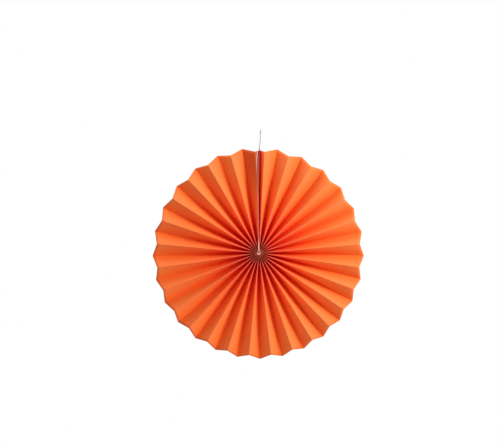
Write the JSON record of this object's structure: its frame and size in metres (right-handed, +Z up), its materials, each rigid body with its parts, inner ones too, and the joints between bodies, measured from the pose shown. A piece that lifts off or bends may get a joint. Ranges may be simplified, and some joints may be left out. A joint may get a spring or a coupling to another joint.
{
  "type": "paper fan rosette",
  "caption": "Round wall or ceiling decoration of pleated card, opened from a folded strip into a full disc, hanging from a doubled thread with a knot.",
  "frame": {"origin": "the point under the top of the thread's loop where the hook carries it", "axes": "+Z up along the hanging thread, +Y from the front of the disc to its back, +X to the right as seen from the front"},
  "size_m": [0.3999, 0.0314, 0.4344],
  "materials": {
    "card": "matt dyed card, pleated, slightly see-through where it is one layer thick",
    "tape": "thin double-sided tape",
    "thread": "white twisted cotton"
  },
  "bodies": {
    "root": {"pleated_paper": "card", "seam_tape": "tape", "gathering_thread": "thread", "gathering_knot": "thread", "hub_loop": "thread", "left_thread": "thread", "right_thread": "thread", "top_knot": "thread"}
  },
  "joints": []
}
